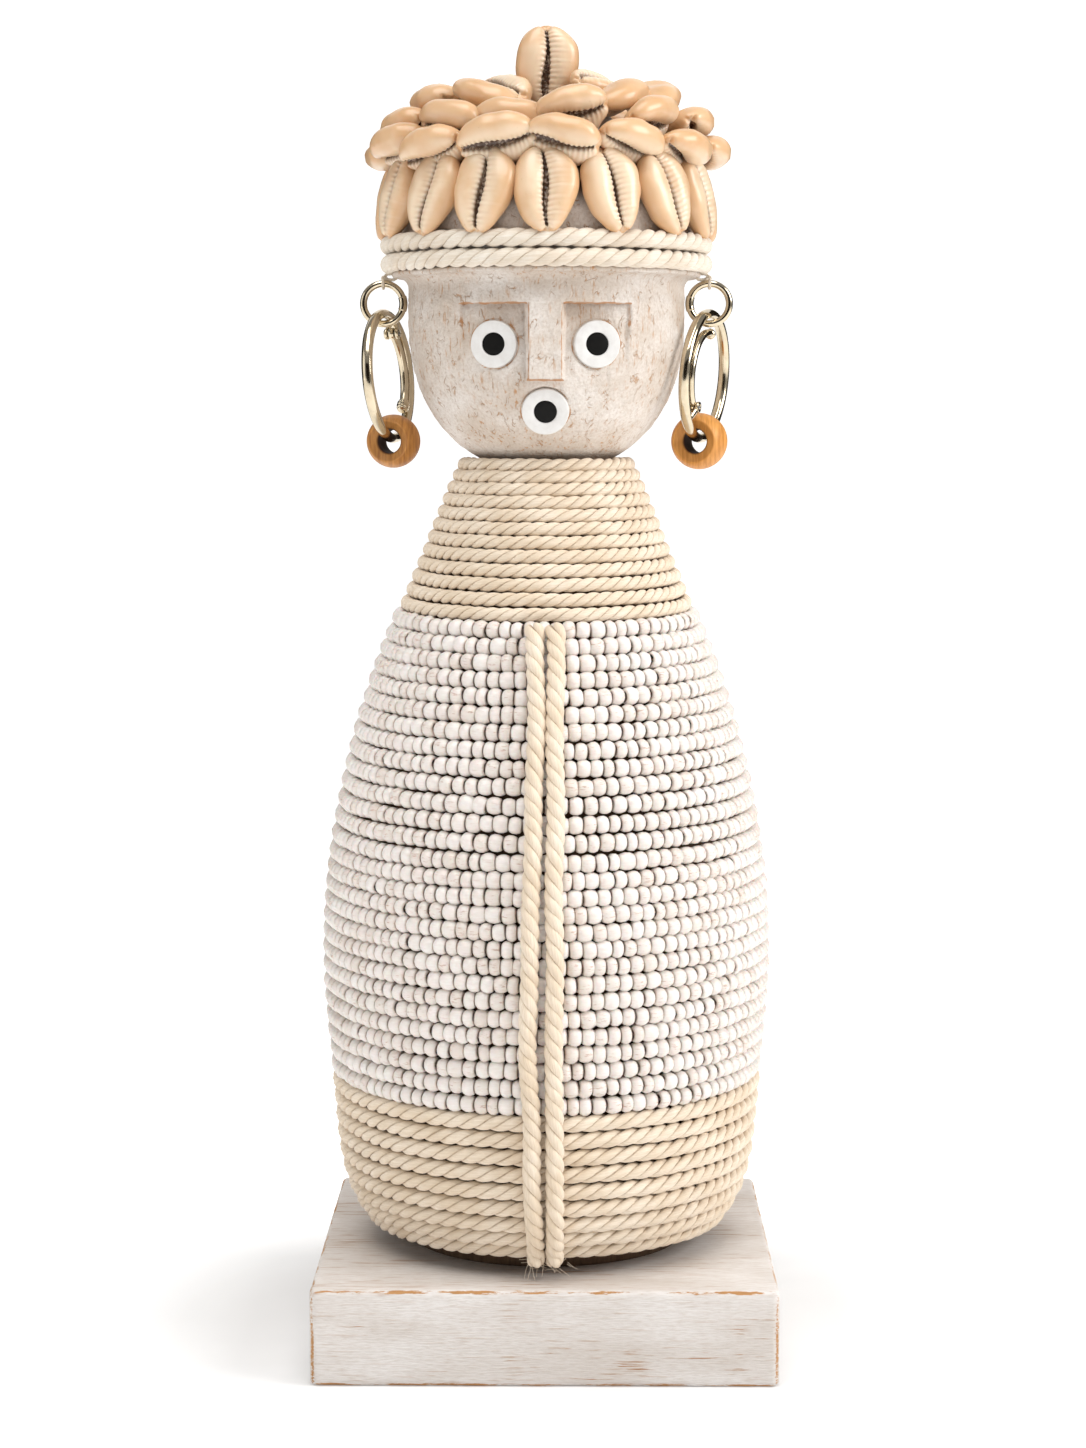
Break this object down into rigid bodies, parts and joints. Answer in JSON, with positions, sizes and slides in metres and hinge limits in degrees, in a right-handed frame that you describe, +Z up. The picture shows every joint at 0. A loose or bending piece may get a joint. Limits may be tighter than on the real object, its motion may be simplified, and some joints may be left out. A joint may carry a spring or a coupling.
{
  "type": "namji doll",
  "caption": "Carved wooden doll wrapped in cotton rope and strung beads, with a cowrie-shell crown and hoop earrings, standing on a square plinth.",
  "frame": {"origin": "centre of the plinth's underside", "axes": "+Z up along the doll, -Y the way the face looks, +X to the right of someone who looks at the face"},
  "size_m": [0.12, 0.1247, 0.3487],
  "materials": {
    "plinth_paint": "whitewash rubbed into wood grain, edges worn to bare wood, matt",
    "bare_wood": "bare turned wood, matt",
    "body_cotton": "unbleached three-strand cotton rope, matt and slightly hairy",
    "head_cotton": "pale three-strand cotton rope, matt and slightly hairy",
    "bone_bead": "off-white bone-like beads with brown specks, satin",
    "head_paint": "whitewash scratched through to brown wood, matt",
    "disc_white": "polished off-white disc",
    "pupil_black": "polished black centre with a thin light ring",
    "cowrie_shell": "polished cream cowrie shell with pale toothed lips",
    "thread": "off-white sewing thread",
    "pale_gold": "polished pale gold plating",
    "pin_steel": "plain steel pin",
    "bead_wood_left": "brown wooden bead, lightly varnished",
    "bead_wood_right": "orange-brown wooden bead, lightly varnished"
  },
  "bodies": {
    "root": {"plinth": "plinth_paint", "body_core": "bare_wood", "foot_dowel": "bare_wood", "neck_dowel": "bare_wood", "shoulder_rope": "body_cotton", "hem_rope": "body_cotton", "front_cord_left": "body_cotton", "front_cord_right": "body_cotton", "head_rope": "head_cotton", "bead_string_upper": "bone_bead", "bead_string_lower": "bone_bead", "head": "head_paint", "crown_core": "head_paint", "eye_left_disc": "disc_white", "eye_right_disc": "disc_white", "mouth_disc": "disc_white", "eye_left_pupil": "pupil_black", "eye_right_pupil": "pupil_black", "mouth_pupil": "pupil_black", "ring_cowrie_01": "cowrie_shell", "ring_cowrie_02": "cowrie_shell", "ring_cowrie_03": "cowrie_shell", "ring_cowrie_04": "cowrie_shell", "ring_cowrie_05": "cowrie_shell", "ring_cowrie_06": "cowrie_shell", "ring_cowrie_07": "cowrie_shell", "ring_cowrie_08": "cowrie_shell", "ring_cowrie_09": "cowrie_shell", "ring_cowrie_10": "cowrie_shell", "ring_cowrie_11": "cowrie_shell", "ring_cowrie_12": "cowrie_shell", "ring_cowrie_13": "cowrie_shell", "ring_cowrie_14": "cowrie_shell", "ring_cowrie_15": "cowrie_shell", "cowrie_tier_outer": "cowrie_shell", "cowrie_tier_middle": "cowrie_shell", "upper_cowrie_1": "cowrie_shell", "upper_cowrie_2": "cowrie_shell", "upper_cowrie_3": "cowrie_shell", "upper_cowrie_4": "cowrie_shell", "upper_cowrie_5": "cowrie_shell", "upper_cowrie_6": "cowrie_shell", "upper_cowrie_7": "cowrie_shell", "upper_cowrie_8": "cowrie_shell", "upper_cowrie_9": "cowrie_shell", "top_cowrie": "cowrie_shell", "thread_loop_left": "thread", "thread_loop_right": "thread"},
    "left_ring": {"ear_ring_left": "pale_gold"},
    "left_hoop": {"hoop_left": "pale_gold", "clip_pin_left": "pin_steel"},
    "left_clip": {"hoop_clip_left": "pale_gold"},
    "left_bead": {"wood_bead_left": "bead_wood_left"},
    "right_ring": {"ear_ring_right": "pale_gold"},
    "right_hoop": {"hoop_right": "pale_gold", "clip_pin_right": "pin_steel"},
    "right_clip": {"hoop_clip_right": "pale_gold"},
    "right_bead": {"wood_bead_right": "bead_wood_right"}
  },
  "joints": [
    {"name": "left_ring_swing", "type": "hinge", "parent": "root", "child": "left_ring", "pos_m": [-0.0433, 0, 0.2816], "axis": [1, 0, 0], "range_deg": [-35, 35]},
    {"name": "left_hoop_swing", "type": "hinge", "parent": "left_ring", "child": "left_hoop", "pos_m": [-0.0433, 0, 0.27365], "axis": [0.274, 0.9617, 0], "range_deg": [-0.5, 39.5]},
    {"name": "left_bead_slide", "type": "hinge", "parent": "left_hoop", "child": "left_bead", "pos_m": [-0.04206, -0.00036, 0.2572], "axis": [-0.9588, 0.2731, -0.0785], "range_deg": [-16, 105]},
    {"name": "left_clip_open", "type": "hinge", "parent": "left_hoop", "child": "left_clip", "pos_m": [-0.04132, 0.00548, 0.26857], "axis": [-0.9588, 0.2731, -0.0785], "range_deg": [0, 35], "stiffness_Nm_per_rad": 0.001, "springref_deg": -34.38},
    {"name": "right_ring_swing", "type": "hinge", "parent": "root", "child": "right_ring", "pos_m": [0.0433, 0, 0.2816], "axis": [1, 0, 0], "range_deg": [-35, 35]},
    {"name": "right_hoop_swing", "type": "hinge", "parent": "right_ring", "child": "right_hoop", "pos_m": [0.0433, 0, 0.27365], "axis": [-0.3535, -0.9354, 0], "range_deg": [-0.5, 39.5]},
    {"name": "right_bead_slide", "type": "hinge", "parent": "right_hoop", "child": "right_bead", "pos_m": [0.04209, 0.00046, 0.2572], "axis": [-0.9326, 0.3524, 0.0785], "range_deg": [-95, 12]},
    {"name": "right_clip_open", "type": "hinge", "parent": "right_hoop", "child": "right_clip", "pos_m": [0.03869, -0.00672, 0.24903], "axis": [-0.9326, 0.3524, 0.0785], "range_deg": [0, 35], "stiffness_Nm_per_rad": 0.001, "springref_deg": -34.38}
  ]
}
